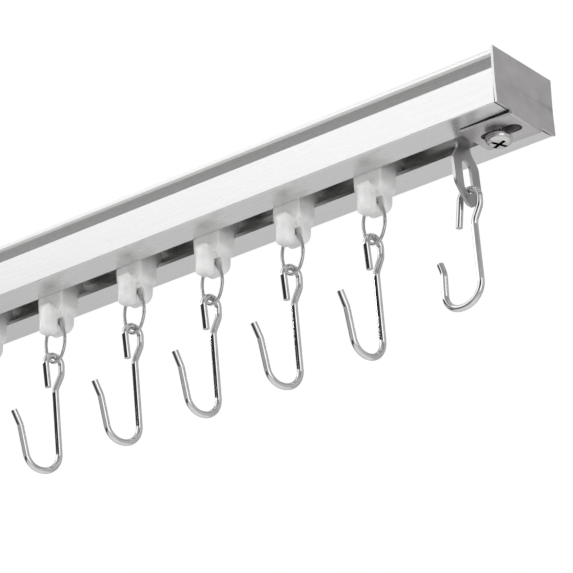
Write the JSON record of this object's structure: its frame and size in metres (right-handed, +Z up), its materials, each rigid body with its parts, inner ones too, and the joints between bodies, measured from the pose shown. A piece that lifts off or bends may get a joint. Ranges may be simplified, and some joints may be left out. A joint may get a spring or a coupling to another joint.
{
  "type": "ceiling curtain track",
  "caption": "Slotted aluminium ceiling track with folded end brackets; sliding nylon runners carry oval wire rings and chromed wire hooks for hanging a curtain.",
  "frame": {"origin": "The middle of the track's top face, which bears on the ceiling.", "axes": "X runs along the track, Y from its front face to its back face, Z up."},
  "size_m": [0.3024, 0.0316, 0.0783],
  "materials": {
    "aluminium": "fine satin, clear anodised",
    "zinc_plate": "dull zinc plate",
    "nylon": "milky, soft gloss",
    "bright_wire": "bright plated wire"
  },
  "bodies": {
    "track": {"track_profile": "aluminium", "right_end_bracket": "zinc_plate", "left_end_bracket": "zinc_plate", "right_clamp_tab": "zinc_plate", "left_clamp_tab": "zinc_plate", "clamp_screws": "zinc_plate"},
    "right_end_hook": {"right_end_hook": "bright_wire"},
    "left_end_hook": {"left_end_hook": "bright_wire"},
    "runner_1": {"runner_1": "nylon"},
    "ring_1": {"ring_1": "bright_wire"},
    "hook_1": {"hook_1": "bright_wire"},
    "runner_2": {"runner_2": "nylon"},
    "ring_2": {"ring_2": "bright_wire"},
    "hook_2": {"hook_2": "bright_wire"},
    "runner_3": {"runner_3": "nylon"},
    "ring_3": {"ring_3": "bright_wire"},
    "hook_3": {"hook_3": "bright_wire"},
    "runner_4": {"runner_4": "nylon"},
    "ring_4": {"ring_4": "bright_wire"},
    "hook_4": {"hook_4": "bright_wire"},
    "runner_5": {"runner_5": "nylon"},
    "ring_5": {"ring_5": "bright_wire"},
    "hook_5": {"hook_5": "bright_wire"},
    "runner_6": {"runner_6": "nylon"},
    "ring_6": {"ring_6": "bright_wire"},
    "hook_6": {"hook_6": "bright_wire"},
    "runner_7": {"runner_7": "nylon"},
    "ring_7": {"ring_7": "bright_wire"},
    "hook_7": {"hook_7": "bright_wire"}
  },
  "joints": [
    {"name": "runner_1_slide", "type": "slide", "parent": "track", "child": "runner_1", "axis": [1, 0, 0], "range_m": [-0.02, 0.013]},
    {"name": "ring_1_swing", "type": "hinge", "parent": "runner_1", "child": "ring_1", "pos_m": [0.0968, -0.0014, -0.02615], "axis": [1, 0, 0], "range_deg": [-9, 9]},
    {"name": "hook_1_swing", "type": "hinge", "parent": "ring_1", "child": "hook_1", "pos_m": [0.0968, -0.0014, -0.03925], "axis": [1, 0, 0], "range_deg": [-60, 60]},
    {"name": "runner_2_slide", "type": "slide", "parent": "track", "child": "runner_2", "axis": [1, 0, 0], "range_m": [-0.02, 0.02]},
    {"name": "ring_2_swing", "type": "hinge", "parent": "runner_2", "child": "ring_2", "pos_m": [0.0664, -0.0014, -0.02615], "axis": [1, 0, 0], "range_deg": [-9, 9]},
    {"name": "hook_2_swing", "type": "hinge", "parent": "ring_2", "child": "hook_2", "pos_m": [0.0664, -0.0014, -0.03925], "axis": [1, 0, 0], "range_deg": [-60, 60]},
    {"name": "runner_3_slide", "type": "slide", "parent": "track", "child": "runner_3", "axis": [1, 0, 0], "range_m": [-0.02, 0.02]},
    {"name": "ring_3_swing", "type": "hinge", "parent": "runner_3", "child": "ring_3", "pos_m": [0.0354, -0.0014, -0.02615], "axis": [1, 0, 0], "range_deg": [-9, 9]},
    {"name": "hook_3_swing", "type": "hinge", "parent": "ring_3", "child": "hook_3", "pos_m": [0.0354, -0.0014, -0.03925], "axis": [1, 0, 0], "range_deg": [-60, 60]},
    {"name": "runner_4_slide", "type": "slide", "parent": "track", "child": "runner_4", "axis": [1, 0, 0], "range_m": [-0.02, 0.02]},
    {"name": "ring_4_swing", "type": "hinge", "parent": "runner_4", "child": "ring_4", "pos_m": [0.0043, -0.0014, -0.02615], "axis": [1, 0, 0], "range_deg": [-9, 9]},
    {"name": "hook_4_swing", "type": "hinge", "parent": "ring_4", "child": "hook_4", "pos_m": [0.0043, -0.0014, -0.03925], "axis": [1, 0, 0], "range_deg": [-60, 60]},
    {"name": "runner_5_slide", "type": "slide", "parent": "track", "child": "runner_5", "axis": [1, 0, 0], "range_m": [-0.02, 0.02]},
    {"name": "ring_5_swing", "type": "hinge", "parent": "runner_5", "child": "ring_5", "pos_m": [-0.0283, -0.0014, -0.02615], "axis": [1, 0, 0], "range_deg": [-9, 9]},
    {"name": "hook_5_swing", "type": "hinge", "parent": "ring_5", "child": "hook_5", "pos_m": [-0.0283, -0.0014, -0.03925], "axis": [1, 0, 0], "range_deg": [-60, 60]},
    {"name": "runner_6_slide", "type": "slide", "parent": "track", "child": "runner_6", "axis": [1, 0, 0], "range_m": [-0.02, 0.02]},
    {"name": "ring_6_swing", "type": "hinge", "parent": "runner_6", "child": "ring_6", "pos_m": [-0.0587, -0.0014, -0.02615], "axis": [1, 0, 0], "range_deg": [-9, 9]},
    {"name": "hook_6_swing", "type": "hinge", "parent": "ring_6", "child": "hook_6", "pos_m": [-0.0587, -0.0014, -0.03925], "axis": [1, 0, 0], "range_deg": [-60, 60]},
    {"name": "runner_7_slide", "type": "slide", "parent": "track", "child": "runner_7", "axis": [1, 0, 0], "range_m": [-0.013, 0.02]},
    {"name": "ring_7_swing", "type": "hinge", "parent": "runner_7", "child": "ring_7", "pos_m": [-0.0892, -0.0014, -0.02615], "axis": [1, 0, 0], "range_deg": [-9, 9]},
    {"name": "hook_7_swing", "type": "hinge", "parent": "ring_7", "child": "hook_7", "pos_m": [-0.0892, -0.0014, -0.03925], "axis": [1, 0, 0], "range_deg": [-60, 60]},
    {"name": "right_end_hook_swing", "type": "hinge", "parent": "track", "child": "right_end_hook", "pos_m": [0.1301, 0, -0.0357], "axis": [0, -1, 0], "range_deg": [-30, 30]},
    {"name": "left_end_hook_swing", "type": "hinge", "parent": "track", "child": "left_end_hook", "pos_m": [-0.1301, 0, -0.0357], "axis": [0, -1, 0], "range_deg": [-30, 30]}
  ]
}
